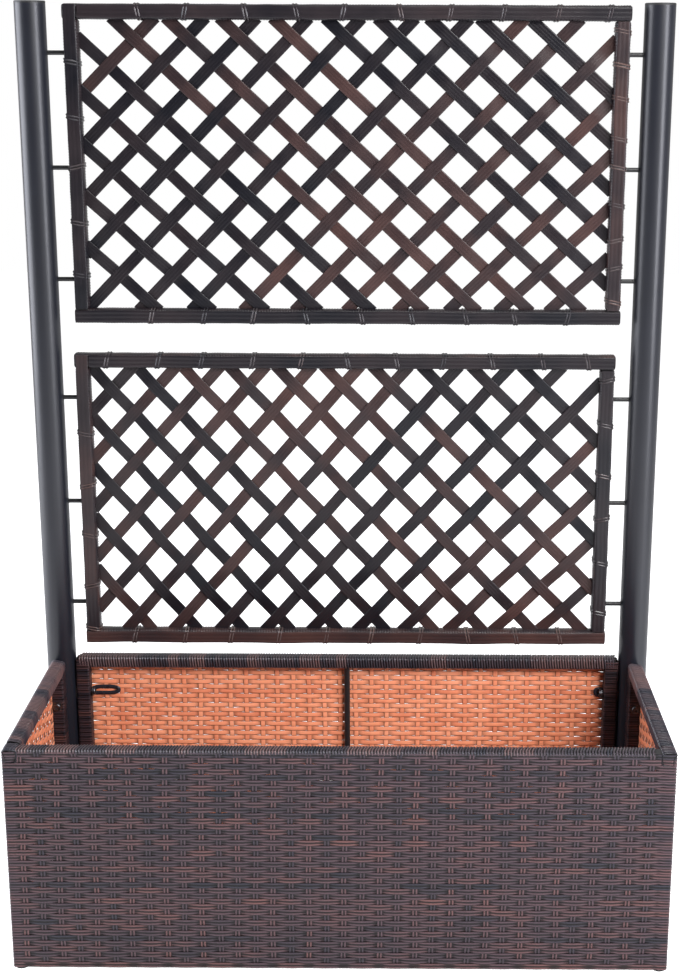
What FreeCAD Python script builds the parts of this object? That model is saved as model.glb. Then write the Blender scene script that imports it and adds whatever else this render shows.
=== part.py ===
import FreeCAD, Part
import math
import os

# Planter box with a woven trellis behind it, in millimetres.
# X runs across the planter, +Y runs to the back, +Z is up.
# The origin is on the floor, at the centre of the overall footprint.

# Overall sizes
box_width = 830.0
box_height = 302.0
overall_depth = 320.0
overall_height = 1198.0
foot_height = 2.0

# Woven panels: square steel tube, strand wrapped round it, woven skin on the outer face
panel_thickness = 20.0
tube_size = 14.0
tube_wall = 1.0
skin_thickness = 3.0
skin_to_rim = 6.0
rim_rounding = 4.0
post_rounding = 2.5
centre_bar_diameter = 8.0
centre_bar_gap = 1.0

# Poles
pole_diameter = 40.0
pole_wall = 1.2
cap_height = 3.0
cap_chamfer = 0.8
plug_depth = 15.0
plug_wall = 2.5
pole_gap = 1.5

# Trellis panels: (height of the lower edge, sideways offset of the panel)
trellis_width = 731.0
trellis_height = 416.0
upper_trellis_base = 779.0
lower_trellis_base = 322.0
upper_trellis_shift = 2.5
lower_trellis_shift = -1.5
trellis_bar = 20.5
trellis_tube = 15.0
bar_rounding = 4.0
vent_diameter = 4.0
binding_width = 7.0
binding_proud = 0.6
binding_pitch = 68.0
strand_width = 16.2
strand_thickness = 1.4
strand_lift = 0.9
crossing_flat = 10.3
smallest_strand_end = 50.0

# Where the lattice strands meet the top and the bottom bar: place of strand 0 along X, pitch
# and growth of the pitch. Strand n is at place + pitch n + growth n^2.
upper_falling_top = (-158.0, 69.0, -0.4)
upper_falling_bottom = (244.0, 70.5, -0.1)
upper_falling_numbers = range(-7, 7)
upper_rising_top = (228.0, 71.5, 0.5)
upper_rising_bottom = (-135.0, 69.5, -0.2)
upper_rising_numbers = range(-7, 7)
lower_falling_top = (-157.0, 64.0, 0.4)
lower_falling_bottom = (190.0, 69.5, 0.4)
lower_falling_numbers = range(-7, 7)
lower_rising_top = (150.0, 68.5, 0.8)
lower_rising_bottom = (-178.0, 65.0, -0.1)
lower_rising_numbers = range(-7, 8)

# Crossings where the falling strand is in front: the sum of the two numbers is even (0) or odd (1)
upper_falling_front = 1
lower_falling_front = 0

# Pins that hang the trellis panels in the poles, as parts of the panel height
pin_diameter = 6.0
pin_hole_clearance = 0.4
pin_engagement = 8.0
pin_levels = (0.142, 0.497, 0.851)

# Fasteners
bolt_diameter = 6.0
bolt_slack = 0.1
hole_clearance = 0.4
bolt_head_diameter = 10.5
bolt_head_height = 3.3
bolt_head_rounding = 2.0
bolt_end_gap = 2.0
socket_across_flats = 4.0
socket_depth = 2.0
washer_diameter = 14.0
washer_thickness = 1.2
insert_diameter = 9.0
insert_length = 12.0
saddle_size = 14.0
back_bolt_levels = (60.0, 245.5)
side_bolt_levels = (80.0, 240.0)
corner_bolt_levels = (60.0, 240.0)

# Slits beside the back posts where the key reaches the upper bolts, bound with strand
slit_height = 4.0
left_slit_length = 32.0
right_slit_length = 5.0
loop_width = 5.5
loop_proud = 1.5

# Base board
base_thickness = 5.0
base_gap = 1.0
drain_diameter = 10.0
drain_columns = 7
drain_rows = 3
drain_pitch_x = 100.0
drain_pitch_y = 85.0

# Glides under the front corners
glide_diameter = 18.0
glide_stem_diameter = 8.0
glide_stem_length = 14.0

# Worked out from the sizes above
half_width = box_width / 2
front_y = -overall_depth / 2
pole_radius = pole_diameter / 2
pole_x = half_width - panel_thickness / 2
pole_y = overall_depth / 2 - pole_radius
back_y = pole_y + panel_thickness / 2
wrap_thickness = (panel_thickness - tube_size) / 2
rim_base = box_height - panel_thickness
sill_top = foot_height + panel_thickness
skin_base = foot_height + skin_to_rim
skin_top = box_height - skin_to_rim
side_start = front_y + panel_thickness
side_end = pole_y - pole_radius - pole_gap
back_half = pole_x - pole_radius - pole_gap
hole_diameter = bolt_diameter + hole_clearance

spans = {
    "front": (-half_width, half_width),
    "back": (-back_half, back_half),
    "left": (side_start, side_end),
    "right": (side_start, side_end),
}

os.makedirs("parts", exist_ok=True)


def save(name, solids):
    """Write one node, which may hold several separate solids."""
    shape = solids[0] if len(solids) == 1 else Part.makeCompound(solids)
    shape.exportStep(f"parts/{name}.step")


def block(x0, x1, y0, y1, z0, z1):
    """A box given by its two corners."""
    return Part.makeBox(x1 - x0, y1 - y0, z1 - z0, FreeCAD.Vector(x0, y0, z0))


def rod(x, y, z, direction, diameter, length):
    """A round bar that starts at a point and runs along a direction."""
    axis = FreeCAD.Vector(*direction)
    return Part.makeCylinder(diameter / 2, length, FreeCAD.Vector(x, y, z), axis)


def panel_block(side, u, d, z):
    """A box in a panel: u along its length, d inwards from its outer face, z up."""
    if side == "front":
        return block(u[0], u[1], front_y + d[0], front_y + d[1], z[0], z[1])
    if side == "back":
        return block(u[0], u[1], back_y - d[1], back_y - d[0], z[0], z[1])
    if side == "left":
        return block(-half_width + d[0], -half_width + d[1], u[0], u[1], z[0], z[1])
    return block(half_width - d[1], half_width - d[0], u[0], u[1], z[0], z[1])


def rounded(shape, axis, radius, keep=lambda point: True):
    """Round the edges that run along one axis (0, 1 or 2) and pass the test."""
    chosen = []
    for edge in shape.Edges:
        a, b = edge.Vertexes[0].Point, edge.Vertexes[1].Point
        along = abs(b[axis] - a[axis])
        if abs(along - (b - a).Length) < 1e-6 and keep(a):
            chosen.append(edge)
    return shape.makeFillet(radius, chosen)


def tube_ring(side, u, z, d, size, wall):
    """A mitred rectangular frame of square tube, as a solid ring and as its hollow."""
    ring = panel_block(side, u, d, z)
    window = (u[0] + size, u[1] - size), (z[0] + size, z[1] - size)
    ring = ring.cut(panel_block(side, window[0], (d[0] - 1, d[1] + 1), window[1]))
    inside = (d[0] + wall, d[1] - wall)
    hollow = panel_block(side, (u[0] + wall, u[1] - wall), inside, (z[0] + wall, z[1] - wall))
    core = (window[0][0] - wall, window[0][1] + wall), (window[1][0] - wall, window[1][1] + wall)
    return ring, hollow.cut(panel_block(side, core[0], (d[0] - 1, d[1] + 1), core[1]))


def cut_all(shape, tools):
    """Take each tool that reaches the shape out of it."""
    near = [tool for tool in tools if shape.BoundBox.intersect(tool.BoundBox)]
    return shape.cut(near) if near else shape


# ---- Bolted joints: every bolt starts on a seat and runs along its direction ----

def joint(seat, direction, grip):
    """The pieces of one bolted joint, with grip the distance from the seat to the insert."""
    step = FreeCAD.Vector(*direction)
    start = FreeCAD.Vector(*seat)
    under_head = start - step * washer_thickness
    shank_length = washer_thickness + grip + insert_length - bolt_end_gap
    shank = Part.makeCylinder(bolt_diameter / 2 - bolt_slack, shank_length, under_head, step)
    head = Part.makeCylinder(bolt_head_diameter / 2, bolt_head_height, under_head, -step)
    top = under_head - step * bolt_head_height
    rim = [edge for edge in head.Edges if (edge.CenterOfMass - top).Length < 1e-6]
    head = head.makeFillet(bolt_head_rounding, rim)
    socket = [top + side_step(step, 60 * k, socket_across_flats / math.sqrt(3)) for k in range(7)]
    key_hole = Part.Face(Part.makePolygon(socket)).extrude(step * socket_depth)
    bolt = head.fuse(shank).cut(key_hole).removeSplitter()
    washer = Part.makeCylinder(washer_diameter / 2, washer_thickness, under_head, step)
    washer = washer.cut(Part.makeCylinder(hole_diameter / 2, washer_thickness, under_head, step))
    insert_start = start + step * grip
    insert = Part.makeCylinder(insert_diameter / 2, insert_length, insert_start, step)
    insert = insert.cut(Part.makeCylinder(bolt_diameter / 2, insert_length, insert_start, step))
    hole = Part.makeCylinder(hole_diameter / 2, grip, start, step)
    pocket = Part.makeCylinder(insert_diameter / 2, insert_length, insert_start, step)
    return {"bolt": bolt, "washer": washer, "insert": insert, "hole": hole, "pocket": pocket}


def side_step(axis, degrees, radius):
    """A step away from an axis, turned round it."""
    up = FreeCAD.Vector(0, 0, 1)
    across = axis.cross(up)
    angle = math.radians(degrees)
    return up * (radius * math.cos(angle)) + across * (radius * math.sin(angle))


back_joints = []
side_joints = []
corner_joints = []
saddles = []
poles_solid = []
for sign in (-1, 1):
    poles_solid.append(rod(sign * pole_x, pole_y, 0, (0, 0, 1), pole_diameter, overall_height))
wall_grip = panel_thickness + pole_gap


def cut_saddle(saddle, bolted):
    """Hollow a spacer to fit the pole and let the bolt and its insert through."""
    return cut_all(saddle, poles_solid + [bolted["hole"], bolted["pocket"]])


for sign in (-1, 1):
    for level in back_bolt_levels:
        seat = (sign * (back_half - panel_thickness), pole_y, level)
        back_joints.append(joint(seat, (sign, 0, 0), wall_grip))
        x0, x1 = sorted((sign * back_half, sign * (back_half + pole_gap * 2)))
        half = saddle_size / 2
        saddle = block(x0, x1, pole_y - half, pole_y + half, level - half, level + half)
        saddles.append(cut_saddle(saddle, back_joints[-1]))
    for level in side_bolt_levels:
        seat = (sign * pole_x, side_end - panel_thickness, level)
        side_joints.append(joint(seat, (0, 1, 0), wall_grip))
        x = sign * pole_x
        saddle = block(x - half, x + half, side_end, side_end + pole_gap * 2, level - half, level + half)
        saddles.append(cut_saddle(saddle, side_joints[-1]))
    for level in corner_bolt_levels:
        seat = (sign * pole_x, side_start + panel_thickness, level)
        corner_joints.append(joint(seat, (0, -1, 0), panel_thickness + wrap_thickness))

all_joints = back_joints + side_joints + corner_joints
joint_space = [piece[key] for piece in all_joints for key in ("hole", "pocket")]
save("back_panel_bolts", [piece["bolt"] for piece in back_joints])
save("side_panel_bolts", [piece["bolt"] for piece in side_joints])
save("front_corner_bolts", [piece["bolt"] for piece in corner_joints])
save("bolt_washers", [piece["washer"] for piece in all_joints])
save("threaded_inserts", [piece["insert"] for piece in all_joints])
save("pole_saddles", saddles)


# ---- Glides under the front corners ----

glides = []
for sign in (-1, 1):
    y = front_y + panel_thickness / 2
    foot = rod(sign * pole_x, y, 0, (0, 0, 1), glide_diameter, foot_height)
    stem = rod(sign * pole_x, y, foot_height, (0, 0, 1), glide_stem_diameter, glide_stem_length)
    glides.append(foot.fuse(stem))
save("front_glides", glides)


# ---- Planter panels ----

def centre_bar(side):
    """The round bar welded upright between the two rails, just inside the skin."""
    depth = skin_thickness + centre_bar_gap + centre_bar_diameter / 2
    y = front_y + depth if side == "front" else back_y - depth
    base = foot_height + wrap_thickness + tube_size
    top = box_height - wrap_thickness - tube_size
    return rod(0, y, base, (0, 0, 1), centre_bar_diameter, top - base)


bars = {side: centre_bar(side) for side in ("front", "back")}
slits = []
loops = []
for sign, length in ((-1, left_slit_length), (1, right_slit_length)):
    outer = back_half - panel_thickness
    x0, x1 = sorted((sign * outer, sign * (outer - length)))
    z0 = back_bolt_levels[1] - slit_height / 2
    z1 = back_bolt_levels[1] + slit_height / 2
    inner_face = back_y - skin_thickness
    slit = block(x0, x1, inner_face - loop_proud - 1, back_y + 1, z0, z1)
    end = loop_width * (sign < 0), loop_width * (sign > 0)
    x_ends = x0 - end[1], x1 + end[0]
    frame = block(*x_ends, inner_face - loop_proud, inner_face, z0 - loop_width, z1 + loop_width)
    slits.append(slit)
    loops.append(cut_all(frame, [slit] + [piece["washer"] for piece in back_joints]))
save("slit_bindings", loops)

for side, (start, end) in spans.items():
    tube = (wrap_thickness, wrap_thickness + tube_size)
    ring_u = (start + wrap_thickness, end - wrap_thickness)
    ring_z = (foot_height + wrap_thickness, box_height - wrap_thickness)
    ring, hollow = tube_ring(side, ring_u, ring_z, tube, tube_size, tube_wall)
    inner_u = (start + panel_thickness, end - panel_thickness)
    skin = panel_block(side, inner_u, (0, skin_thickness), (skin_base, skin_top))
    full = (0, panel_thickness)
    length_axis = 0 if side in ("front", "back") else 1
    solid_inside = [ring, skin] + joint_space + glides
    if side in bars:
        solid_inside.append(bars[side])
        save(f"{side}_centre_bar", [bars[side]])
    frame = cut_all(ring.cut(hollow), joint_space + glides)
    save(f"{side}_panel_frame", [frame])
    save(f"{side}_woven_skin", [cut_all(skin, slits) if side == "back" else skin])
    rim = panel_block(side, (start, end), full, (rim_base, box_height))
    rim = rounded(rim, length_axis, rim_rounding, lambda point: point.z > box_height - 1)
    save(f"{side}_rim_wrap", [cut_all(rim, solid_inside)])
    sill = panel_block(side, inner_u, full, (foot_height, sill_top))
    save(f"{side}_sill_wrap", [cut_all(sill, solid_inside)])
    sleeves = []
    for u in ((start, start + panel_thickness), (end - panel_thickness, end)):
        sleeve = panel_block(side, u, full, (foot_height, rim_base))
        sleeve = rounded(sleeve, 2, post_rounding)
        sleeves.append(cut_all(sleeve, solid_inside))
    names = ("left", "right") if side in ("front", "back") else ("front", "rear")
    for name, sleeve in zip(names, sleeves):
        save(f"{side}_panel_{name}_post_wrap", [sleeve])


# ---- Base board, resting on the ledge that the bottom rails make ----

board_x = half_width - skin_thickness - base_gap
board = block(
    -board_x, board_x, front_y + skin_thickness + base_gap, back_y - skin_thickness - base_gap,
    sill_top, sill_top + base_thickness)
corner_tools = []
for sign in (-1, 1):
    front_edge = half_width - panel_thickness - base_gap
    rear_edge = pole_x - pole_radius - base_gap
    post_edge = back_half - panel_thickness - base_gap
    corners = (
        (front_edge, front_y, side_start + panel_thickness + base_gap),
        (rear_edge, side_end - panel_thickness - base_gap, overall_depth / 2),
        (post_edge, back_y - panel_thickness - base_gap, overall_depth / 2),
    )
    for edge, y0, y1 in corners:
        x0, x1 = sorted((sign * edge, sign * half_width))
        corner_tools.append(block(x0, x1, y0, y1, 0, box_height))
for bar in bars.values():
    box = bar.BoundBox
    y0, y1 = (front_y, box.YMax + base_gap) if box.YMax < 0 else (box.YMin - base_gap, back_y)
    corner_tools.append(block(box.XMin - base_gap, box.XMax + base_gap, y0, y1, 0, box_height))
drains = []
for i in range(drain_columns):
    for j in range(drain_rows):
        x = (i - (drain_columns - 1) / 2) * drain_pitch_x
        y = (j - (drain_rows - 1) / 2) * drain_pitch_y
        drains.append(rod(x, y, sill_top - 1, (0, 0, 1), drain_diameter, base_thickness + 2))
save("base_board", [cut_all(board, corner_tools + drains)])


# ---- Trellis panels ----

def strand_lines(top, bottom, numbers, z_top, z_bottom):
    """The strands of one family, as numbers and end points."""
    lines = []
    for n in numbers:
        x_top = sum(term * n ** power for power, term in enumerate(top))
        x_bottom = sum(term * n ** power for power, term in enumerate(bottom))
        lines.append((n, (x_top, z_top), (x_bottom, z_bottom)))
    return lines


def crossing(line_a, line_b):
    """How far along line a, as a part of its length, it meets line b."""
    (_, (ax, az), (bx, bz)) = line_a
    (_, (cx, cz), (dx, dz)) = line_b
    # both run from the same upper height to the same lower height
    gap_top = cx - ax
    gap_bottom = dx - bx
    if gap_top * gap_bottom >= 0:
        return None
    return gap_top / (gap_top - gap_bottom)


def woven_strand(line, others, over_when):
    """A flat strand that passes over and under the other family in turn."""
    i, (x_top, z_top), (x_bottom, z_bottom) = line
    run = FreeCAD.Vector(x_bottom - x_top, 0, z_bottom - z_top)
    length = run.Length
    places = []
    for other in others:
        part = crossing(line, other)
        if part is not None:
            height = strand_lift if (i + other[0]) % 2 == over_when else -strand_lift
            places.append((part * length, height))
    places.sort()
    spine = [(-crossing_flat, places[0][1])]
    for place, height in places:
        spine += [(place - crossing_flat, height), (place + crossing_flat, height)]
    spine.append((length + crossing_flat, places[-1][1]))
    spine = [point for k, point in enumerate(spine) if k == 0 or point[0] > spine[k - 1][0] + 0.5]
    half = strand_thickness / 2
    outline = [(s, h - half) for s, h in spine] + [(s, h + half) for s, h in reversed(spine)]
    along = run.normalize()
    across = along.cross(FreeCAD.Vector(0, 1, 0))
    origin = FreeCAD.Vector(x_top, pole_y, z_top) - across * (strand_width / 2)
    points = [origin + along * s + FreeCAD.Vector(0, -h, 0) for s, h in outline]
    face = Part.Face(Part.makePolygon(points + points[:1]))
    return face.extrude(across * strand_width)


def trellis(name, base, shift, falling, rising, falling_front):
    """One trellis panel: tube frame, wrapped bars, bindings, two families of strands."""
    x0, x1 = shift - trellis_width / 2, shift + trellis_width / 2
    z0, z1 = base, base + trellis_height
    wrap = (trellis_bar - trellis_tube) / 2
    inner_x = (x0 + trellis_bar, x1 - trellis_bar)
    inner_z = (z0 + trellis_bar, z1 - trellis_bar)
    depth = (back_y - pole_y - trellis_tube / 2, back_y - pole_y + trellis_tube / 2)
    ring_x = (x0 + wrap, x1 - wrap)
    ring_z = (z0 + wrap, z1 - wrap)
    ring, hollow = tube_ring("back", ring_x, ring_z, depth, trellis_tube, tube_wall)
    levels = [z0 + trellis_height * part for part in pin_levels]
    pins = []
    for sign, edge in ((-1, x0 + wrap), (1, x1 - wrap)):
        reach = wrap + pole_x - pole_radius - trellis_width / 2 + pin_engagement
        for level in levels:
            pins.append(rod(edge, pole_y, level, (sign, 0, 0), pin_diameter, reach))
    vent = rod(shift, pole_y, z0 + wrap - 1, (0, 0, 1), vent_diameter, tube_wall + 2)
    save(f"{name}_trellis_frame", [ring.cut(hollow).cut(vent)])
    half = trellis_bar / 2
    rows = {
        "top_bar": (0, x0, x1, z1 - trellis_bar, z1),
        "bottom_bar": (0, x0, x1, z0, z0 + trellis_bar),
        "left_bar": (2, x0, x0 + trellis_bar, z0 + trellis_bar, z1 - trellis_bar),
        "right_bar": (2, x1 - trellis_bar, x1, z0 + trellis_bar, z1 - trellis_bar),
    }
    bindings = []
    for row, (axis, a0, a1, b0, b1) in rows.items():
        bar = rounded(block(a0, a1, pole_y - half, pole_y + half, b0, b1), axis, bar_rounding)
        save(f"{name}_trellis_{row}_wrap", [cut_all(bar, [ring] + pins)])
        count = round(max(a1 - a0, b1 - b0) / binding_pitch)
        for k in range(count):
            if axis == 0:
                middle = a0 + (a1 - a0) * (k + 0.5) / count
                band = (middle - binding_width / 2, middle + binding_width / 2, b0, b1)
            else:
                middle = b0 + (b1 - b0) * (k + 0.5) / count
                band = (a0, a1, middle - binding_width / 2, middle + binding_width / 2)
            grow = (binding_proud, 0) if axis == 2 else (0, binding_proud)
            band_block = block(
                band[0] - grow[0], band[1] + grow[0], pole_y - half - binding_proud,
                pole_y + half + binding_proud, band[2] - grow[1], band[3] + grow[1])
            outer = rounded(band_block, axis, bar_rounding)
            bindings.append(cut_all(outer, [bar] + pins))
    save(f"{name}_trellis_bindings", bindings)
    clearance = binding_proud
    window = block(
        inner_x[0] + clearance, inner_x[1] - clearance, pole_y - half, pole_y + half,
        inner_z[0] + clearance, inner_z[1] - clearance)
    families = {
        "falling": strand_lines(*falling, inner_z[1], inner_z[0]),
        "rising": strand_lines(*rising, inner_z[1], inner_z[0]),
    }
    orders = ("falling", "rising", falling_front), ("rising", "falling", 1 - falling_front)
    for key, other, over_when in orders:
        strands = []
        for line in families[key]:
            strand = woven_strand(line, families[other], over_when).common(window)
            strands += [solid for solid in strand.Solids if solid.Volume > smallest_strand_end]
        save(f"{name}_trellis_{key}_strands", strands)
    return pins


pins = trellis(
    "upper", upper_trellis_base, upper_trellis_shift,
    (upper_falling_top, upper_falling_bottom, upper_falling_numbers),
    (upper_rising_top, upper_rising_bottom, upper_rising_numbers), upper_falling_front)
pins += trellis(
    "lower", lower_trellis_base, lower_trellis_shift,
    (lower_falling_top, lower_falling_bottom, lower_falling_numbers),
    (lower_rising_top, lower_rising_bottom, lower_rising_numbers), lower_falling_front)
save("trellis_pins", pins)


# ---- Poles, with their caps ----

caps = []
feet = []
bore_diameter = pole_diameter - 2 * pole_wall
tube_length = overall_height - foot_height - cap_height
for side, sign in (("left", -1), ("right", 1)):
    tube = rod(sign * pole_x, pole_y, foot_height, (0, 0, 1), pole_diameter, tube_length)
    bore = rod(sign * pole_x, pole_y, 0, (0, 0, 1), bore_diameter, overall_height)
    holes = []
    for pin in pins:
        box = pin.BoundBox
        if sign * box.Center.x > 0:
            centre = (min(box.XMin, box.XMax), pole_y, box.Center.z)
            holes.append(rod(*centre, (1, 0, 0), pin_diameter + pin_hole_clearance, box.XLength))
    save(f"{side}_pole", [cut_all(tube.cut(bore), holes + joint_space)])
    for z, up, disc_height, pieces in (
            (overall_height - cap_height, 1, cap_height, caps), (foot_height, -1, foot_height, feet)):
        disc = rod(sign * pole_x, pole_y, z, (0, 0, up), pole_diameter, disc_height)
        outer = [edge for edge in disc.Edges if abs(edge.CenterOfMass.z - z - up * disc_height) < 1e-6]
        disc = disc.makeChamfer(cap_chamfer, outer)
        skirt = rod(sign * pole_x, pole_y, z, (0, 0, -up), bore_diameter, plug_depth)
        hollow = rod(sign * pole_x, pole_y, z, (0, 0, -up), bore_diameter - 2 * plug_wall, plug_depth)
        pieces.append(disc.fuse(skirt.cut(hollow)))
save("pole_top_caps", caps)
save("pole_foot_caps", feet)
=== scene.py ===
import math

import bpy
import numpy as np
from mathutils import Matrix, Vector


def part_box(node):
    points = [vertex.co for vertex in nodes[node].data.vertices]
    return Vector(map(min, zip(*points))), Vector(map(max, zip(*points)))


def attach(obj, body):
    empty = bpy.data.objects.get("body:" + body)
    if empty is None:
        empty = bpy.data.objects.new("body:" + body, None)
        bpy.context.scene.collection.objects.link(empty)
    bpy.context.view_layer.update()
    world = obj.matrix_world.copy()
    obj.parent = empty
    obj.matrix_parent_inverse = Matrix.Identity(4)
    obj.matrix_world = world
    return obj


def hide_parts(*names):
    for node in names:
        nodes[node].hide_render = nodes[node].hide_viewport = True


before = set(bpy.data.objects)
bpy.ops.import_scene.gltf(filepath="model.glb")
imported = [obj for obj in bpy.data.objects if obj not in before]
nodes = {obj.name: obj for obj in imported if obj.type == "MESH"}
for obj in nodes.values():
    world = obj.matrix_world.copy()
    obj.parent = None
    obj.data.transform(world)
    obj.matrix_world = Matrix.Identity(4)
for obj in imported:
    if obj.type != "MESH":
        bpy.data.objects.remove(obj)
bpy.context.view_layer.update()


# ---- Rows of the woven panels ----
# Each panel is woven of flat double-ridged plastic strand, brown mix on its outer side and
# terracotta on its inner side. A row passes in front of one upright and behind the next, and
# its ends turn round the square steel end posts, which they cover ring by ring.

row_top = {"front": 0.2956, "back": 0.2928, "left": 0.2940, "right": 0.2935}
row_pitch = {"front": 0.00738, "back": 0.00717, "left": 0.00730, "right": 0.00730}
row_count = {"front": 40, "back": 41, "left": 40, "right": 40}
post_width = 0.020
post_bend = 0.0025
# painted shade on the inner faces of the end posts, inside the box
post_inside_painted_shade = 0.55
surface_gap = 0.00005
strand_ridge = 0.00078
crease_angle = 60.0
row_swing = 0.00082
row_middle = 0.00180
row_end_depth = 0.0032
row_drift = 0.00030
# part of the swing that the first and the last row keep, which lie flatter against the rails
end_row_swing = 0.3
last_row_height = 0.0061
# distance from the end of a panel at which its rows start to swing, and swing fully
swing_start, swing_full = 0.010, 0.018
upright_pitch = {"front": 0.02221, "back": 0.02231, "left": 0.0223, "right": 0.0223}
upright_start = {"front": -0.0152, "back": 0.0105, "left": 0.0025, "right": -0.0060}
upright_lean = {"front": 0.0026, "back": 0.0, "left": 0.0, "right": 0.0}
lean_height = 0.3
# half width of a row as a part of the pitch: beside uprights, behind them, and its gain in front
plain_width = 0.515
under_width = {"front": 0.530, "back": 0.468, "left": 0.490, "right": 0.490}
over_gain = 0.045
# tone of the rows, its spread from row to row and from length to length, and its slow drift
row_tone, row_tone_spread, length_tone_spread, tone_drift = 0.52, 0.10, 0.11, 0.24
dark_row_drop = 0.30
# lengths of a row that can have a tone of their own
row_lengths = 120
rows_dark = {"front": (0, 3, 10, 11, 15, 24, 34), "back": (2, 7, 12, 20, 21, 31),
             "left": (1, 6, 9, 17, 25, 33), "right": (4, 5, 13, 22, 29)}
sides = ("front", "back", "left", "right")
chance = np.random.default_rng(7)

# Section of the strand, from one edge over its two ridges to the other and back below
narrow_section = (
    np.array((-1.0, -0.55, -0.15, 0.15, 0.55, 1.0, 0.93, 0.55, -0.55, -0.93)),
    np.array((0.15, 1.0, 0.2, 0.2, 1.0, 0.15, -0.4, -0.75, -0.75, -0.4)) * strand_ridge)
narrow_inner = np.array((0, 0, 0, 0, 0, 0, 1, 1, 1, 0))
# painted light round the strand section: painted shade on the edges and in the groove, painted highlights on
# the two ridges, plainer on the inner side
narrow_painted_light = np.array((0.08, 1.95, 0.16, 0.16, 1.95, 0.08, 0.62, 1.03, 1.03, 0.62))
narrow_facing = np.array((1, 1, 1, 1, 1, 1, -1, -1, -1, -1))
# painted shade where a strand dips behind its neighbours: strong on the outer faces, weaker on the inner
# faces
dip_painted_shade = np.array((0.75, 0.75, 0.75, 0.75, 0.75, 0.75, 0.38, 0.38, 0.38, 0.38))


def panel_axes(side):
    """Foot of the middle of a panel's outer face, direction along it, inwards, half its length."""
    low, high = (np.array(corner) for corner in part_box(f"{side}_rim_wrap"))
    inward = np.array({"front": (0, 1, 0), "back": (0, -1, 0), "left": (1, 0, 0), "right": (-1, 0, 0)}[side])
    along = np.cross(inward, (0, 0, 1))
    foot = (low + high) / 2 - inward * abs((high - low) @ inward) / 2
    foot[2] = 0
    return foot, along, inward, abs((high - low) @ along) / 2


def on_panel(side, u, d, z):
    """Points of a panel from u along its outer face, d inwards from that face and z up."""
    foot, along, inward, _ = panel_axes(side)
    u, d, z = np.broadcast_arrays(u, d, z)
    return foot + u[..., None] * along + d[..., None] * inward + z[..., None] * np.array((0, 0, 1))


def wander(strands, place, wavelengths, reach):
    """Slow drift of each strand: the mean of one sine per wavelength, each with a random phase."""
    phase = chance.uniform(0, 2 * np.pi, (strands, 1, len(wavelengths)))
    turn = 2 * np.pi * np.asarray(place)[..., None] / np.array(wavelengths)
    return reach * np.sin(turn + phase).mean(-1)


def ease(value, low, high):
    """0 below low, 1 above high, and the curve 3t^2 - 2t^3 between them."""
    t = np.clip((value - low) / (high - low), 0, 1)
    return t * t * (3 - 2 * t)


def carry(path, out, half_width, section):
    """Carry a section along paths of shape (strands, steps, 3).

    A section point (a, h) lies at path + a * half_width * across + h * out, where across is the
    cross product of the path's direction and out. The result has shape (strands, steps, ring, 3).
    """
    a, h = section
    run = np.gradient(path, axis=1)
    across = np.cross(run, out)
    across /= np.linalg.norm(across, axis=-1, keepdims=True)
    width = np.broadcast_to(half_width, path.shape[:2])
    sideways = (width[..., None] * a)[..., None] * across[:, :, None]
    return path[:, :, None] + sideways + h[:, None] * out[:, :, None]


def carry_round(path, out, half_width, section):
    """The same for paths that close on themselves, whose direction also joins up at the seam."""
    longer = np.concatenate([path[:, -1:], path, path[:, :1]], 1)
    longer_out = np.concatenate([out[:, -1:], out, out[:, :1]], 1)
    return carry(longer, longer_out, half_width, section)[:, 1:-1]


def add_piece(name, points, closed, finishes, tone, inner, shade=1.0):
    """One mesh from grids of shape (strands, steps, ring, 3), which close round the ring.

    Neighbours in the grid are joined by four-sided faces. Open strands end in two caps. The tone
    and the shade, a colour factor with painted shade in grooves and painted highlights on ridges,
    are kept per vertex, and inner says which faces round the ring take the second finish.
    """
    strands, steps, ring = points.shape[:3]
    index = np.arange(strands * steps * ring).reshape(strands, steps, ring)
    start = index if closed else index[:, :-1]
    end = np.roll(index, -1, 1) if closed else index[:, 1:]
    quads = np.stack([start, np.roll(start, -1, 2), np.roll(end, -1, 2), end], -1).reshape(-1, 4)
    caps = [] if closed else np.concatenate([index[:, 0, ::-1], index[:, -1]]).tolist()
    mesh = bpy.data.meshes.new(name)
    mesh.from_pydata(points.reshape(-1, 3).tolist(), [], quads.tolist() + caps)
    for finish in finishes:
        mesh.materials.append(finish)
    chosen = np.zeros(len(mesh.polygons), dtype=np.int32)
    chosen[:len(quads)] = np.resize(inner, len(quads))
    mesh.polygons.foreach_set("material_index", chosen)
    tones = np.broadcast_to(tone, (ring, strands, steps)).transpose(1, 2, 0)
    shades = np.broadcast_to(shade, (strands, steps, ring))
    for title, values in (("tone", tones), ("shade", shades)):
        attribute = mesh.attributes.new(title, "FLOAT", "POINT")
        attribute.data.foreach_set("value", values.ravel().astype(np.float32))
    mesh.shade_smooth()
    mesh.set_sharp_from_angle(angle=math.radians(crease_angle))
    piece = bpy.data.objects.new(name, mesh)
    bpy.context.collection.objects.link(piece)
    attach(piece, "root")
    return piece


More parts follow.
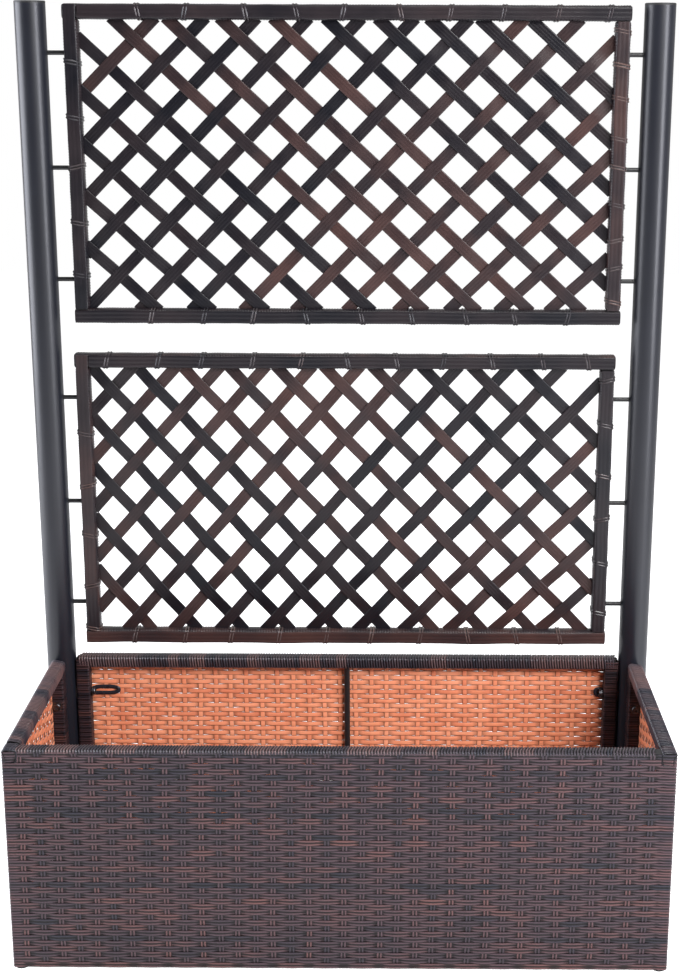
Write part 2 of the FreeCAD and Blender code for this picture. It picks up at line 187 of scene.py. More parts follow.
def strand_finish(name, colours, roughness, streak):
    """Extruded plastic: a colour ramp over the tone, mottled by noise, times the shade attribute with its
    painted shade in the grooves and painted highlights on the ridges.
    """
    finish = bpy.data.materials.new(name)
    finish.use_nodes = True
    tree = finish.node_tree
    shader = tree.nodes["Principled BSDF"]
    place = tree.nodes.new("ShaderNodeTexCoord")
    tone = tree.nodes.new("ShaderNodeAttribute")
    tone.attribute_name = "tone"
    mottle = tree.nodes.new("ShaderNodeTexNoise")
    mottle.inputs["Scale"].default_value = 55.0
    mottle.inputs["Detail"].default_value = 4.0
    sway = tree.nodes.new("ShaderNodeMath")
    sway.operation = "MULTIPLY_ADD"
    sway.inputs[1].default_value = streak
    shift = tree.nodes.new("ShaderNodeMath")
    shift.operation = "SUBTRACT"
    shift.inputs[1].default_value = streak / 2
    ramp = tree.nodes.new("ShaderNodeValToRGB")
    ramp.color_ramp.elements[0].color = (*colours[0], 1)
    ramp.color_ramp.elements[1].color = (*colours[-1], 1)
    for step, colour in enumerate(colours[1:-1], 1):
        ramp.color_ramp.elements.new(step / (len(colours) - 1)).color = (*colour, 1)
    grain = tree.nodes.new("ShaderNodeTexNoise")
    grain.inputs["Scale"].default_value = 900.0
    grain.inputs["Detail"].default_value = 3.0
    # the shade attribute: painted shade in grooves and dips, painted highlights on ridges, multiplied into
    # the colour
    depth = tree.nodes.new("ShaderNodeAttribute")
    depth.attribute_name = "shade"
    painted_light_scale = tree.nodes.new("ShaderNodeVectorMath")
    painted_light_scale.operation = "SCALE"
    gloss = tree.nodes.new("ShaderNodeMapRange")
    gloss.inputs["To Min"].default_value = roughness - 0.07
    gloss.inputs["To Max"].default_value = roughness + 0.09
    bump = tree.nodes.new("ShaderNodeBump")
    bump.inputs["Strength"].default_value = 0.25
    bump.inputs["Distance"].default_value = 0.0002
    shader.inputs["Specular IOR Level"].default_value = 0.30
    link = tree.links.new
    link(place.outputs["Object"], mottle.inputs["Vector"])
    link(place.outputs["Object"], grain.inputs["Vector"])
    link(mottle.outputs["Fac"], sway.inputs[0])
    link(tone.outputs["Fac"], sway.inputs[2])
    link(sway.outputs[0], shift.inputs[0])
    link(shift.outputs[0], ramp.inputs["Fac"])
    link(ramp.outputs["Color"], painted_light_scale.inputs[0])
    link(depth.outputs["Fac"], painted_light_scale.inputs["Scale"])
    link(painted_light_scale.outputs["Vector"], shader.inputs["Base Color"])
    link(mottle.outputs["Fac"], gloss.inputs["Value"])
    link(gloss.outputs["Result"], shader.inputs["Roughness"])
    link(grain.outputs["Fac"], bump.inputs["Height"])
    link(bump.outputs["Normal"], shader.inputs["Normal"])
    return finish


blue_black = (0.016, 0.015, 0.022)
mauve_brown = (0.050, 0.030, 0.036)
red_brown = (0.092, 0.042, 0.040)
weave_outside = strand_finish("weave_outside", (blue_black, mauve_brown, red_brown), 0.42, 0.35)
weave_inside = strand_finish(
    "weave_inside", ((0.76, 0.24, 0.125), (0.88, 0.32, 0.17), (0.92, 0.38, 0.22)), 0.45, 0.8)


def row_plan(half):
    """The way of a row seen from above, as u, d and the outward direction in u and d.

    Straight runs and quarter circles: along the outer face, round the end post and back beside
    it to the skin. The left half mirrors the right half.
    """
    inset = strand_ridge + surface_gap
    front_end = half - inset - post_bend
    rear = post_width - inset
    inner = half - post_width + inset
    quarter = np.linspace(0, np.pi / 2, 5)
    sine, cosine = np.sin(quarter), np.cos(quarter)
    steps_per_upright = 5
    run = np.linspace(0, front_end, int(front_end / upright_pitch["front"] * steps_per_upright) + 1)
    parts = [
        (run, run * 0 + inset, run * 0, run * 0 - 1),
        (front_end + post_bend * sine, inset + post_bend * (1 - cosine), sine, -cosine),
        (front_end + post_bend * cosine, rear - post_bend * (1 - sine), cosine, sine),
        (inner + post_bend * (1 - sine), rear - post_bend * (1 - cosine), -sine, cosine),
        (np.array((inner,)), np.array((row_end_depth,)), np.array((-1.0,)), np.array((0.0,))),
    ]
    u, d, out_u, out_d = (np.concatenate([part[k] for part in parts]) for k in range(4))
    return (np.concatenate([-u[:0:-1], u]), np.concatenate([d[:0:-1], d]),
            np.concatenate([-out_u[:0:-1], out_u]), np.concatenate([out_d[:0:-1], out_d]))


# How far the rows reach past each end of a panel
post_swell = {"front": 0.0, "back": 0.0014, "left": 0.0, "right": 0.0}

for side in sides:
    _, along, inward, half = panel_axes(side)
    u, d, out_u, out_d = row_plan(half + post_swell[side])
    rows = row_count[side]
    number = np.arange(rows)[:, None]
    level = row_top[side] - row_pitch[side] * number
    lean = upright_lean[side] * (1 - level / lean_height)
    # a whole number at each upright
    crossing = (u - upright_start[side] + lean) / upright_pitch[side]
    wave = np.cos(np.pi * crossing) * (-1.0) ** number
    free = ease(half - np.abs(u), swing_start, swing_full) * (out_d < -0.99)
    under = wave * free
    depth = d + free * (row_middle - d + row_swing * wave)
    steady = np.where((number == 0) | (number == rows - 1), end_row_swing, 1.0)
    depth = depth - (1 - steady) * free * row_swing * wave
    height = level + wander(rows, u, (0.41, 0.17, 0.09), row_drift) * steady
    # towards the bottom the rows stand a little wider, down to the edge of the sill
    height = height - (level[-1] - last_row_height) * ease(number, rows * 0.62, rows * 1.3 - 1) * 2
    half_width = row_pitch[side] * (plain_width + steady * (
        (under_width[side] - plain_width) * ease(under, 0.2, 0.8) + over_gain * ease(-under, 0.2, 0.8)))
    path = on_panel(side, u, depth, height)
    out = out_u[:, None] * along + out_d[:, None] * inward
    out = np.broadcast_to(out, path.shape)
    base = chance.normal(row_tone, row_tone_spread, rows)
    base[list(rows_dark[side])] -= dark_row_drop
    # a row changes its tone where an upright hides it, so each length over an upright has its own
    segment = np.floor((crossing + number) / 2).astype(int) + row_lengths // 2
    tone = base[:, None] + wander(rows, u, (0.60, 0.23, 0.11), tone_drift)
    tone = tone + chance.normal(0, length_tone_spread, (rows, row_lengths))[number, segment]
    points = carry(path, out, half_width, narrow_section)
    # painted shade where a row dips beside an upright, and on the inner faces of the end posts
    behind = (out_d > 0.5) | (out_u * np.sign(u) < -0.5)
    shade = (1 - dip_painted_shade * ease(under[..., None] * narrow_facing, 0.2, 0.9)) * narrow_painted_light
    shade = shade * np.where(behind, post_inside_painted_shade, 1.0)[:, None]
    # the top row is brown on both sides, the others are terracotta inside
    below_first = np.arange(rows)[:, None, None] > 0
    inner = np.broadcast_to(narrow_inner * below_first, (rows, len(u) - 1, len(narrow_inner)))
    piece = add_piece(f"{side}_woven_rows", points, False, (weave_outside, weave_inside), tone,
                      inner.ravel(), shade)
    posts = ("left", "right") if side in ("front", "back") else ("front", "rear")
    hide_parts(f"{side}_woven_skin", *[f"{side}_panel_{post}_post_wrap" for post in posts])


# ---- Uprights of the weave ----
# The uprights are the same strand, stood on end 22 mm apart. They bend less than the rows, and
# brown ones and blue-black ones take turns.

upright_half_width = 0.0037
upright_swing = 0.00035
upright_low, upright_high = 0.0055, 0.3005
# distance of the outermost uprights from the end of a panel, at least
upright_margin = 0.017

for side in sides:
    half = panel_axes(side)[3]
    first = math.ceil((upright_margin - half - upright_start[side]) / upright_pitch[side])
    last = math.floor((half - upright_margin - upright_start[side]) / upright_pitch[side])
    number = np.arange(first, last + 1)[:, None]
    z = np.linspace(upright_low, upright_high, row_count[side] * 3)
    u = upright_start[side] + upright_pitch[side] * number + wander(len(number), z, (0.33, 0.12), 0.0011)
    u = u - upright_lean[side] * (1 - z / lean_height)
    swing = np.cos(np.pi * (row_top[side] - z) / row_pitch[side]) * (-1.0) ** number
    # both ends bend inwards, behind the first and the last row
    tuck = 0.002 * ease(z, 0.2975, upright_high) + 0.0012 * (1 - ease(z, 0.0085, 0.0115))
    path = on_panel(side, u, row_middle - upright_swing * swing + tuck, z)
    out = np.broadcast_to(-panel_axes(side)[2], path.shape)
    tone = np.where(number % 2, 0.66, 0.26) + wander(len(number), z, (0.5, 0.14), 0.22)
    points = carry(path, out, upright_half_width, narrow_section)
    # the uprights take the same painted shade and painted highlights as the rows
    piece = add_piece(f"{side}_uprights", points, False, (weave_outside, weave_inside), tone,
                      narrow_inner, narrow_painted_light)


# ---- Wrapped rails ----
# Strand wound side by side round the top and the bottom rail of each panel, three turns for
# each upright, in groups of brown and blue-black turns. The turns lean a little.

turn_half_width = 0.0034
turn_ridge = 0.0011
turn_section = (narrow_section[0], narrow_section[1] * turn_ridge / strand_ridge)
# painted light round a turn's section: painted shade on the edges and in the groove, strong painted
# highlights on the two ridges
turn_painted_light = np.array((0.03, 2.30, 0.08, 0.08, 2.30, 0.03, 0.2, 0.4, 0.4, 0.2))
turn_lean = 0.0022
rim_height = 0.0184
rail_sides = 22
rail_power = 5.0
# depth at which a turn passes behind the rows, and how far it comes forward above them
behind_rows, rim_step = 0.0048, 0.0037
# distance of the first turn from the end of a rail, and at the front rim's left and right end
rail_end_gap = 0.0035
front_rim_gaps = (0.0115, 0.0235)
# turns round the front rim's corners that lie the way of the side rims: distance past the side panel
corner_turns = np.array((0.0035, 0.0105, 0.0170))
# tones of brown and of blue-black turns, their spread, and the mean length of a group
brown_turn, dark_turn, turn_tone_spread = 0.62, 0.14, 0.07
rail_group, corner_group = 6, 9
wrap_finish = strand_finish(
    "rail_wrap", ((0.018, 0.018, 0.024), (0.056, 0.038, 0.041), (0.100, 0.056, 0.050)), 0.28, 0.30)


def superellipse(angle, power):
    """Cosine and sine of the angle, each raised to 2 / power with its sign kept."""
    return [np.sign(wave) * np.abs(wave) ** (2 / power) for wave in (np.cos(angle), np.sin(angle))]


def rail_turns(side, low, high, places, is_rim, lean=turn_lean):
    """Closed turns round a rail between the heights low and high.

    Each turn is a superellipse in d and z, whose front part steps back so that the woven rows
    pass before it. On a rim the top edge comes forward again.
    """
    _, along, inward, _ = panel_axes(side)
    angle = np.linspace(0, 2 * np.pi, rail_sides, endpoint=False)
    near, far = turn_ridge + surface_gap, post_width - turn_ridge
    round_d, round_z = superellipse(angle, rail_power)
    d = (near + far) / 2 + (far - near) / 2 * round_d
    z = (low + high) / 2 + ((high - low) / 2 - turn_ridge) * round_z
    rise = ease(z, high - 0.010, high - 0.003) if is_rim else 0 * z
    d = np.maximum(d, behind_rows - rim_step * rise)
    path_d = np.broadcast_to(d, (len(places), rail_sides))
    slant = lean * (z - (low + high) / 2) / (high - low) * np.sign(np.cos(angle))
    u = np.asarray(places)[:, None] + slant + lean * 0.5 * round_d
    path = on_panel(side, u, path_d, z)
    normal = np.cos(angle)[:, None] * inward + np.sin(angle)[:, None] * np.array((0, 0, 1))
    out = np.broadcast_to(normal, path.shape)
    return carry_round(path[:, ::-1], out[:, ::-1], turn_half_width, turn_section)


def group_tones(count, mean_length):
    """Tones of turns in a row: groups of random length that take brown and blue-black in turn."""
    changes = np.cumsum(chance.uniform(0, 1, count) < 1 / mean_length)
    return np.where(changes % 2, brown_turn, dark_turn) + chance.normal(0, turn_tone_spread, count)


def turn_places(side, start, end):
    """Where the turns stand along a panel: three for each upright, between start and end."""
    turn_pitch = upright_pitch[side] / 3
    first = math.ceil((start - upright_start[side]) / turn_pitch)
    last = math.floor((end - upright_start[side]) / turn_pitch)
    return upright_start[side] + turn_pitch * np.arange(first, last + 1)


for side in sides:
    half = panel_axes(side)[3]
    for rail in ("rim", "sill"):
        is_rim = rail == "rim"
        is_front_rim = is_rim and side == "front"
        low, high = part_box(f"{side}_{rail}_wrap")
        if is_rim:
            low.z = high.z - rim_height
        inset = rail_end_gap if is_rim else post_width + rail_end_gap
        places = turn_places(side, inset - half, half - inset)
        if is_front_rim:
            places = turn_places(side, front_rim_gaps[0] - half, half - front_rim_gaps[1])
        points = rail_turns(side, low.z, high.z, places, is_rim)
        tone = group_tones(len(places), rail_group)
        if is_front_rim:
            corner = panel_axes("left")[3] + corner_turns
            for neighbour, way in (("left", 1), ("right", -1)):
                turned = rail_turns(neighbour, low.z, high.z, way * corner, is_rim, 0.0)
                points = np.concatenate([points, turned])
                tone = np.concatenate([tone, group_tones(len(corner), corner_group)])
        # the turns carry their painted shade and painted highlights
        piece = add_piece(f"{side}_{rail}_turns", points, True, (wrap_finish,), tone[:, None], 0, turn_painted_light)
        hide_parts(f"{side}_{rail}_wrap")


# ---- Trellis bars ----
# Each bar of a trellis panel is a square tube wound tightly with narrow strand, with one wide
# ribbed strand laid along its front face and tied down about every 67 mm by a double turn.

coil_pitch = 0.0037
coil_depth = 0.085
coil_samples = 5
bar_sides = 20
bar_power = 3.4
trellis_y = 0.140
bar_half = 0.01020
bar_end_rounding = 0.003
face_half_width = 0.0082
face_step = 0.006
tie_half_width = 0.0034
tie_lean = 0.0022
tie_sides = 28
tie_power = 4.0
forward = np.array((0.0, -1.0, 0.0))
bar_finish = strand_finish(
    "bar_wrap", ((0.006, 0.006, 0.009), (0.021, 0.015, 0.017), (0.060, 0.030, 0.026)), 0.33, 0.25)
tie_finish = strand_finish(
    "tie_wrap", ((0.012, 0.012, 0.015), (0.034, 0.027, 0.028), (0.068, 0.042, 0.037)), 0.28, 0.25)

# Main tone of each bar: its winding and its face strand
bar_tones = {
    ("upper", "top"): (0.25, 0.32), ("upper", "bottom"): (0.30, 0.15),
    ("upper", "left"): (0.30, 0.18), ("upper", "right"): (0.55, 0.62),
    ("lower", "top"): (0.45, 0.22), ("lower", "bottom"): (0.60, 0.80),
    ("lower", "left"): (0.55, 0.55), ("lower", "right"): (0.35, 0.20),
}
# Ties of each bar: the first one, in metres along X or up Z, their pitch and their number
tie_rows = {
    ("upper", "top"): (-0.266, 0.067, 10), ("upper", "bottom"): (-0.263, 0.070, 9),
    ("upper", "left"): (0.844, 0.070, 5), ("upper", "right"): (0.810, 0.044, 9),
    ("lower", "top"): (-0.321, 0.065, 11), ("lower", "bottom"): (-0.295, 0.066, 10),
    ("lower", "left"): (0.346, 0.069, 5), ("lower", "right"): (0.372, 0.066, 6),
}
tie_stray = 0.003


def ribbed_section(ribs, thickness, rib_height):
    """A flat strand with lengthwise ribs: |sin| waves on its face, thin edges and a plain back. Also returns
    its shade: painted shade on the edges and between the ribs.
    """
    a = np.sin(np.linspace(-np.pi / 2, np.pi / 2, ribs * 6 + 1))
    waves = np.abs(np.sin(np.pi * ribs * (a + 1) / 2))
    face = thickness * (0.35 + 0.35 * (1 - a ** 20)) + rib_height * waves
    # painted shade on the thin edges and between the ribs, the ribs a little lighter
    shade = np.where(np.abs(a) > 0.99, 0.35, 0.80 + 0.25 * waves)
    across = np.concatenate([a, (0.8, -0.8)])
    height = np.concatenate([face - thickness * 0.3, (-thickness * 0.5, -thickness * 0.5)])
    return (across, height), np.concatenate([shade, (0.8, 0.8)])


def wound_bar(start, axis, length, drift):
    """Tube of superellipse section whose radius dips between the turns of a two-start winding.

    The dip is 1 - |sin|^0.5 of the distance along the bar, shifted by two pitches per turn. The
    ends are rounded off by the square root of 1 - (1 - s / rounding)^2. Returns the grid and the
    shade: painted shade in the dips between the turns and painted highlights on their crowns.
    """
    steps = int(length / coil_pitch * coil_samples)
    s = np.linspace(0, length, steps)[:, None]
    angle = np.linspace(0, 2 * np.pi, bar_sides, endpoint=False)
    turn = np.pi * (s + 2 * coil_pitch * angle / (2 * np.pi)) / coil_pitch
    dip = 1 - np.abs(np.sin(turn)) ** 0.5
    near_end = np.clip(np.minimum(s, length - s) / bar_end_rounding, 0.02, 1)
    radius = (bar_half * (1 - coil_depth * dip) + drift(s)) * (0.8 + 0.2 * np.sqrt(1 - (1 - near_end) ** 2))
    ahead, aside = superellipse(angle, bar_power)
    grid = start + s[..., None] * axis + (radius * ahead)[..., None] * forward
    grid = grid + (radius * aside)[..., None] * np.cross(axis, forward)
    # painted shade in the dips between the turns, painted highlights on their crowns
    return grid[None], (1.20 - 1.00 * dip)[None]


def wander_line(reach):
    """One slow random drift along a bar, as a function of the distance."""
    phases = chance.uniform(0, 2 * np.pi, 3)
    lengths = np.array((0.031, 0.067, 0.19))
    return lambda s: reach * np.sin(2 * np.pi * s / lengths + phases).mean(-1, keepdims=True)


# How far each face strand runs past the start and the end of its bar
face_ends = {"top": (-0.0205, -0.0010), "bottom": (-0.0010, -0.0010),
             "left": (0.0, 0.0190), "right": (0.0, 0.0)}
# the face strand carries painted shade on its edges and between its ribs
wide_section, wide_painted_light = ribbed_section(3, 0.0012, 0.00025)

for panel in ("upper", "lower"):
    tie_points = []
    tie_tones = []
    for row in ("top", "bottom", "left", "right"):
        low, high = (np.array(corner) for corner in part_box(f"{panel}_trellis_{row}_bar_wrap"))
        level = row in ("top", "bottom")
        axis = np.array((1.0, 0, 0) if level else (0, 0, 1.0))
        centre = (low + high) / 2
        length = (high - low) @ axis
        start = centre - axis * length / 2
        coil_tone, face_tone = bar_tones[panel, row]
        points, shade = wound_bar(start, axis, length, wander_line(0.00025))
        steps = points.shape[1]
        tone = coil_tone + wander(1, np.linspace(0, length, steps), (0.21, 0.083, 0.047), 0.30)
        bar = add_piece(f"{panel}_{row}_bar_winding", points, False, (bar_finish,), tone, 0, shade)
        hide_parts(f"{panel}_trellis_{row}_bar_wrap")

        # the wide strand along the front face
        before, after = face_ends[row]
        s = np.linspace(-before, length + after, int(length / face_step))
        lift = wander(1, s, (0.067, 0.11), 0.0003) + 0.0004
        path = start + s[:, None] * axis
        path[:, 1] = (trellis_y - bar_half - lift)[0]
        path += np.cross(axis, -forward) * wander(1, s, (0.13, 0.31), 0.0006)[0][:, None]
        path = path[None]
        out = np.broadcast_to(forward, path.shape)
        points = carry(path, out, face_half_width + wander(1, s, (0.09, 0.21), 0.0003), wide_section)
        tone = face_tone + wander(1, s, (0.37, 0.15), 0.20)
        face = add_piece(f"{panel}_{row}_bar_face_strand", points, False, (bar_finish,), tone, 0, wide_painted_light)

        # the ties: double-ridged turns round the bar and its face strand
        first, pitch, count = tie_rows[panel, row]
        places = (first + pitch * np.arange(count) + chance.normal(0, tie_stray, count))[:, None]
        angle = np.linspace(0, 2 * np.pi, tie_sides, endpoint=False)
        ahead, aside = superellipse(angle, tie_power)
        aside_way = np.cross(axis, forward)
        lean = tie_lean * chance.choice((-1, 1), count)[:, None] * aside
        turns = centre - axis * (centre @ axis) + (
            (places + lean)[..., None] * axis
            + (bar_half + 0.0007) * ahead[:, None] * forward
            + (bar_half + 0.0001) * aside[:, None] * aside_way)
        normal = np.cos(angle)[:, None] * forward + np.sin(angle)[:, None] * aside_way
        out = np.broadcast_to(normal, turns.shape)
        tie_points.append(carry_round(turns[:, ::-1], out[:, ::-1], tie_half_width, turn_section))
        tie_tones.append(np.clip(chance.normal(face_tone + 0.08, 0.16, count), 0.05, 1.0))
    # the ties take the narrow strand's painted shade and painted highlights
    ties = add_piece(f"{panel}_bar_ties", np.concatenate(tie_points), True, (tie_finish,),
                     np.concatenate(tie_tones)[:, None], 0, narrow_painted_light)
    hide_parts(f"{panel}_trellis_bindings")


# ---- Trellis lattice ----
# Wide ribbed strand, 16 mm across, in two families that fall and rise across the panel and
# pass over and under each other in turn. Their ends are held in the wrapped bars.

lattice_half_width = 0.0081
lattice_swing = 0.00105
lattice_steps = 110
lattice_mean_pitch = 0.068
# how far the strands reach into the bars
lattice_reach = 0.004
lattice_finish = strand_finish(
    "lattice", ((0.005, 0.005, 0.008), (0.017, 0.012, 0.014), (0.056, 0.028, 0.025)), 0.33, 0.30)
# the lattice strand carries painted shade on its edges and between its ribs
lattice_section, lattice_painted_light = ribbed_section(4, 0.0013, 0.00018)

# Where strand 0 meets the top and the bottom bar in millimetres, the pitch, and how it grows
lattice_lines = {
    ("upper", "falling"): ((-158.0, 69.0, -0.4), (244.0, 70.5, -0.1)),
    ("upper", "rising"): ((228.0, 71.5, 0.5), (-135.0, 69.5, -0.2)),
    ("lower", "falling"): ((-157.0, 64.0, 0.4), (190.0, 69.5, 0.4)),
    ("lower", "rising"): ((150.0, 68.5, 0.8), (-178.0, 65.0, -0.1)),
}
first_strand = -7
last_strand = {("upper", "falling"): 6, ("upper", "rising"): 6,
               ("lower", "falling"): 6, ("lower", "rising"): 7}
# Crossings where the falling strand is in front: the sum of the two numbers is even (0) or odd (1)
falling_front = {"upper": 1, "lower": 0}
# Numbers of the brown strands; the others are blue-black
brown_strands = {
    ("upper", "falling"): (-2, -1, 0, 1), ("upper", "rising"): (-7, 0, 1, 2, 3, 4, 5, 6),
    ("lower", "falling"): (-7, -1, 0, 1, 2, 3),
    ("lower", "rising"): (-6, -5, -4, -3, -2, -1, 4, 5, 6, 7),
}


def strand_ends(panel, family, number):
    """X at the top and at the bottom bar: place + pitch n + growth n^2 for strand number n."""
    return [(place + pitch * number + growth * number ** 2) / 1000
            for place, pitch, growth in lattice_lines[panel, family]]


for panel in ("upper", "lower"):
    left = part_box(f"{panel}_trellis_left_bar_wrap")[1].x
    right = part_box(f"{panel}_trellis_right_bar_wrap")[0].x
    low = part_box(f"{panel}_trellis_bottom_bar_wrap")[1].z
    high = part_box(f"{panel}_trellis_top_bar_wrap")[0].z
    for family, other in (("falling", "rising"), ("rising", "falling")):
        number = np.arange(first_strand, last_strand[panel, family] + 1)
        top, bottom = strand_ends(panel, family, number)
        # part of the way down at which each strand enters and leaves the opening
        slope = bottom - top
        at_left = (left - lattice_reach - top) / slope
        at_right = (right + lattice_reach - top) / slope
        margin = lattice_reach / (high - low)
        enter = np.maximum(np.where(slope > 0, at_left, at_right), -margin)
        leave = np.minimum(np.where(slope > 0, at_right, at_left), 1 + margin)
        t = enter[:, None] + (leave - enter)[:, None] * np.linspace(0, 1, lattice_steps)
        x = top[:, None] + slope[:, None] * t
        # number of the other family's strand that would pass here, closed in on by repeated steps
        # of the gap that is left over the mean pitch
        other_number = np.zeros_like(x)
        for _ in range(12):
            other_top, other_bottom = strand_ends(panel, other, other_number)
            other_number += (x - other_top - (other_bottom - other_top) * t) / lattice_mean_pitch
        turn = other_number + number[:, None] + falling_front[panel] + (family == "rising")
        over = np.cos(np.pi * turn)
        swing = lattice_swing * np.clip(over * 1.4, -1, 1)
        path = np.stack([x, trellis_y - swing, high - (high - low) * t], -1)
        out = np.broadcast_to(forward, path.shape)
        points = carry(path, out, lattice_half_width, lattice_section)
        brown = np.isin(number, brown_strands[panel, family])
        tone = np.where(brown, 0.70, 0.20)[:, None] + wander(len(number), t, (1.3, 0.47, 0.21), 0.30)
        piece = add_piece(f"{panel}_{family}_lattice", points, False, (lattice_finish,), tone, 0,
                          lattice_painted_light)
        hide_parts(f"{panel}_trellis_{family}_strands")


# ---- Bound slits ----
# Beside each back post a slit in the weave lets the key reach the upper bolt. A dark strand is
# looped round it on the inner side.

loop_half_width = 0.0029
loop_half_height = 0.0046
loop_proud = 0.0015
loop_power = 2.8
loop_steps = 44
loop_tone = -0.1
# X of the outer and the inner end of each loop
loop_ends = ((-0.3655, -0.3275), (0.3655, 0.3555))
slit_low, slit_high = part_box("slit_bindings")
slit_z = (slit_low.z + slit_high.z) / 2
loops = []
for outer_end, inner_end in loop_ends:
    angle = np.linspace(0, 2 * np.pi, loop_steps, endpoint=False)
    across, up = superellipse(angle, loop_power)
    x = (outer_end + inner_end) / 2 + abs(outer_end - inner_end) / 2 * across
    # the outer end hangs a little
    droop = 0.0012 * ease(np.abs(x), 0.352, 0.366)
    z = slit_z - 0.0006 + loop_half_height * up - droop
    path = np.stack([x, slit_low.y + 0.0003 + 0.0006 * up, z], -1)
    ring = np.linspace(0, 2 * np.pi, 8, endpoint=False)
    out = np.broadcast_to(forward, path.shape)
    section = (np.sin(ring), np.cos(ring) * loop_proud)
    loops.append(carry_round(path[None], out[None], loop_half_width, section)[0])
slit_loops = add_piece("slit_loops", np.array(loops), True, (wrap_finish,), loop_tone, 0)
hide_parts("slit_bindings")


# ---- Poles, pins and frames ----
# Steel tube and bar with dark powder coating: satin with a fine orange-peel surface.

def coated_steel(name, colour, roughness, peel):
    """Powder-coated steel: one colour that varies faintly, and an orange-peel bump."""
    finish = bpy.data.materials.new(name)
    finish.use_nodes = True
    tree = finish.node_tree
    shader = tree.nodes["Principled BSDF"]
    place = tree.nodes.new("ShaderNodeTexCoord")
    cloud = tree.nodes.new("ShaderNodeTexNoise")
    cloud.inputs["Scale"].default_value = 14.0
    cloud.inputs["Detail"].default_value = 3.0
    ramp = tree.nodes.new("ShaderNodeValToRGB")
    ramp.color_ramp.elements[0].position = 0.3
    ramp.color_ramp.elements[1].position = 0.7
    ramp.color_ramp.elements[0].color = (*(channel * 0.88 for channel in colour), 1)
    ramp.color_ramp.elements[1].color = (*(channel * 1.12 for channel in colour), 1)
    skin = tree.nodes.new("ShaderNodeTexNoise")
    skin.inputs["Scale"].default_value = 700.0
    skin.inputs["Detail"].default_value = 2.0
    bump = tree.nodes.new("ShaderNodeBump")
    bump.inputs["Strength"].default_value = peel
    bump.inputs["Distance"].default_value = 0.0002
    shader.inputs["Roughness"].default_value = roughness
    link = tree.links.new
    link(place.outputs["Object"], cloud.inputs["Vector"])
    link(place.outputs["Object"], skin.inputs["Vector"])
    link(cloud.outputs["Fac"], ramp.inputs["Fac"])
    link(ramp.outputs["Color"], shader.inputs["Base Color"])
    link(skin.outputs["Fac"], bump.inputs["Height"])
    link(bump.outputs["Normal"], shader.inputs["Normal"])
    return finish


def dress(finish, *names):
    """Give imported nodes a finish."""
    for name in names:
        for slot in nodes[name].material_slots:
            slot.material = finish


dress(coated_steel("pole_coat", (0.008, 0.009, 0.014), 0.36, 0.12), "left_pole", "right_pole")
dress(coated_steel("pin_coat", (0.006, 0.006, 0.007), 0.35, 0.15), "trellis_pins")
dress(coated_steel("frame_coat", (0.014, 0.013, 0.014), 0.38, 0.20),
      "front_centre_bar", "back_centre_bar", "upper_trellis_frame", "lower_trellis_frame",
      *[f"{side}_panel_frame" for side in sides])


# ---- Caps, glides, spacers and base board ----
# Black moulded plastic with a fine matt grain.

dress(coated_steel("cap_plastic_black", (0.010, 0.010, 0.011), 0.55, 0.45),
      "pole_top_caps", "pole_foot_caps", "front_glides", "pole_saddles")
dress(coated_steel("board_plastic_black", (0.016, 0.015, 0.015), 0.62, 0.6), "base_board")


# ---- Bolts, washers and inserts ----
# Steel with a black zinc plating, lightly clouded.

def black_zinc(name):
    """Dull metal whose colour is faintly clouded by noise."""
    finish = coated_steel(name, (0.10, 0.10, 0.11), 0.38, 0.1)
    finish.node_tree.nodes["Principled BSDF"].inputs["Metallic"].default_value = 1.0
    return finish


dress(black_zinc("black_zinc_steel"),
      "back_panel_bolts", "side_panel_bolts", "front_corner_bolts", "bolt_washers", "threaded_inserts")


# ---- Floor, backdrop and light ----
# A pale floor in a white studio, soft boxes left and right, a front light and a weaker top light.

def studio_floor():
    """Pale floor that shows white to the camera away from the object's shadow."""
    finish = bpy.data.materials.new("pale_floor")
    finish.use_nodes = True
    tree = finish.node_tree
    tree.nodes.clear()
    seen = tree.nodes.new("ShaderNodeLightPath")
    shine = tree.nodes.new("ShaderNodeMath")
    shine.operation = "MULTIPLY_ADD"
    shine.inputs[1].default_value = 0.5
    through = tree.nodes.new("ShaderNodeMath")
    through.operation = "MAXIMUM"
    glow_level = tree.nodes.new("ShaderNodeMath")
    glow_level.operation = "MULTIPLY"
    glow_level.inputs[1].default_value = 0.74
    chalk = tree.nodes.new("ShaderNodeBsdfDiffuse")
    chalk.inputs["Color"].default_value = (0.80, 0.80, 0.80, 1)
    glow = tree.nodes.new("ShaderNodeEmission")
    both = tree.nodes.new("ShaderNodeAddShader")
    output = tree.nodes.new("ShaderNodeOutputMaterial")
    link = tree.links.new
    link(seen.outputs["Is Glossy Ray"], shine.inputs[0])
    link(seen.outputs["Is Camera Ray"], shine.inputs[2])
    link(shine.outputs[0], through.inputs[0])
    link(seen.outputs["Is Transmission Ray"], through.inputs[1])
    link(through.outputs[0], glow_level.inputs[0])
    link(glow_level.outputs[0], glow.inputs["Strength"])
    link(chalk.outputs[0], both.inputs[0])
    link(glow.outputs[0], both.inputs[1])
    link(both.outputs[0], output.inputs["Surface"])
    return finish


floor_mesh = bpy.data.meshes.new("floor")
floor_half = 6.0
corners = [(x * floor_half, y * floor_half, 0) for x, y in ((-1, -1), (1, -1), (1, 1), (-1, 1))]
floor_mesh.from_pydata(corners, [], [(0, 1, 2, 3)])
floor_mesh.materials.append(studio_floor())
floor = bpy.data.objects.new("floor", floor_mesh)
bpy.context.collection.objects.link(floor)

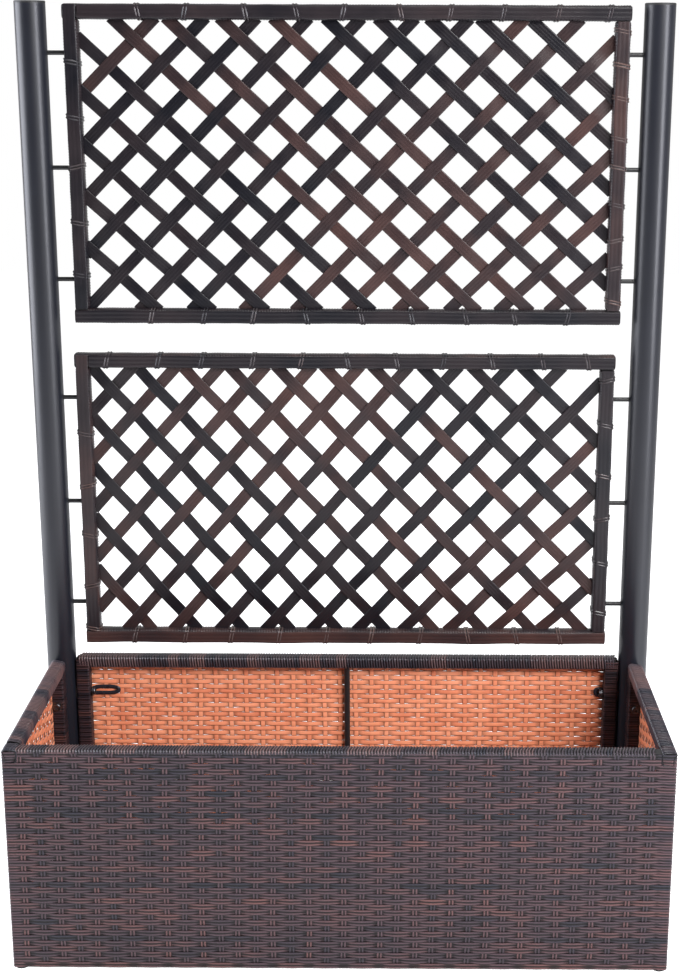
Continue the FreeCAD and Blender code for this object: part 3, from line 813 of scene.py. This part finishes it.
world = bpy.data.worlds.new("studio")
bpy.context.scene.world = world
world.use_nodes = True
tree = world.node_tree
tree.nodes.clear()
seen = tree.nodes.new("ShaderNodeLightPath")
through = tree.nodes.new("ShaderNodeMath")
through.operation = "MAXIMUM"
direction = tree.nodes.new("ShaderNodeTexCoord")
parts = tree.nodes.new("ShaderNodeSeparateXYZ")
behind = tree.nodes.new("ShaderNodeMapRange")
behind.inputs["From Min"].default_value = -0.25
behind.inputs["From Max"].default_value = 0.35
behind.inputs["To Min"].default_value = 0.07
behind.inputs["To Max"].default_value = 0.60
white = tree.nodes.new("ShaderNodeMath")
white.operation = "MAXIMUM"
sky = tree.nodes.new("ShaderNodeBackground")
sky.inputs["Color"].default_value = (1, 1, 1, 1)
output = tree.nodes.new("ShaderNodeOutputWorld")
link = tree.links.new
link(seen.outputs["Is Camera Ray"], through.inputs[0])
link(seen.outputs["Is Transmission Ray"], through.inputs[1])
link(direction.outputs["Generated"], parts.inputs[0])
link(parts.outputs["Y"], behind.inputs["Value"])
link(behind.outputs["Result"], white.inputs[0])
link(through.outputs[0], white.inputs[1])
link(white.outputs[0], sky.inputs["Strength"])
link(sky.outputs[0], output.inputs["Surface"])


def soft_box(name, place, aim, size, watts, colour):
    """An area light that faces the point it is aimed at."""
    light = bpy.data.lights.new(name, "AREA")
    light.shape = "RECTANGLE"
    light.size, light.size_y = size
    light.energy = watts
    light.color = colour
    lamp = bpy.data.objects.new(name, light)
    bpy.context.collection.objects.link(lamp)
    back = (np.array(place) - np.array(aim)) / np.linalg.norm(np.array(place) - np.array(aim))
    right = np.cross((0, 0, 1), back)
    right = right / np.linalg.norm(right)
    up = np.cross(back, right)
    turn = Matrix((right, up, back)).transposed().to_4x4()
    lamp.matrix_world = Matrix.Translation(place) @ turn


soft_box("left_soft_box", (-2.4, 0.05, 1.2), (0, 0.1, 0.6), (1.8, 2.2), 95, (0.89, 0.91, 1.0))
soft_box("right_soft_box", (2.1, -1.5, 1.2), (0, 0, 0.6), (0.7, 1.9), 67, (0.91, 0.92, 1.0))
soft_box("front_light", (1.4, -2.2, 2.3), (0, 0, 0.4), (1.1, 0.8), 84, (1.0, 0.985, 0.975))
soft_box("top_light", (0.2, -0.5, 2.9), (0, 0.05, 0.3), (1.4, 0.6), 24, (1.0, 1.0, 1.0))


# ---- Camera, at the photograph's place ----

lens = bpy.data.cameras.new("camera")
lens.lens = 54.93
lens.sensor_width = 36.0
lens.shift_x = -0.05388
lens.shift_y = -0.08806
camera = bpy.data.objects.new("camera", lens)
bpy.context.collection.objects.link(camera)
camera.matrix_world = (
    Matrix.Translation((0.06606, -1.82849, 1.13224))
    @ Matrix.Rotation(math.radians(0.0913), 4, "Z")
    @ Matrix.Rotation(math.radians(76.8755), 4, "X")
    @ Matrix.Rotation(math.radians(0.2282), 4, "Z"))
bpy.context.scene.camera = camera
bpy.context.scene.view_settings.view_transform = "Standard"
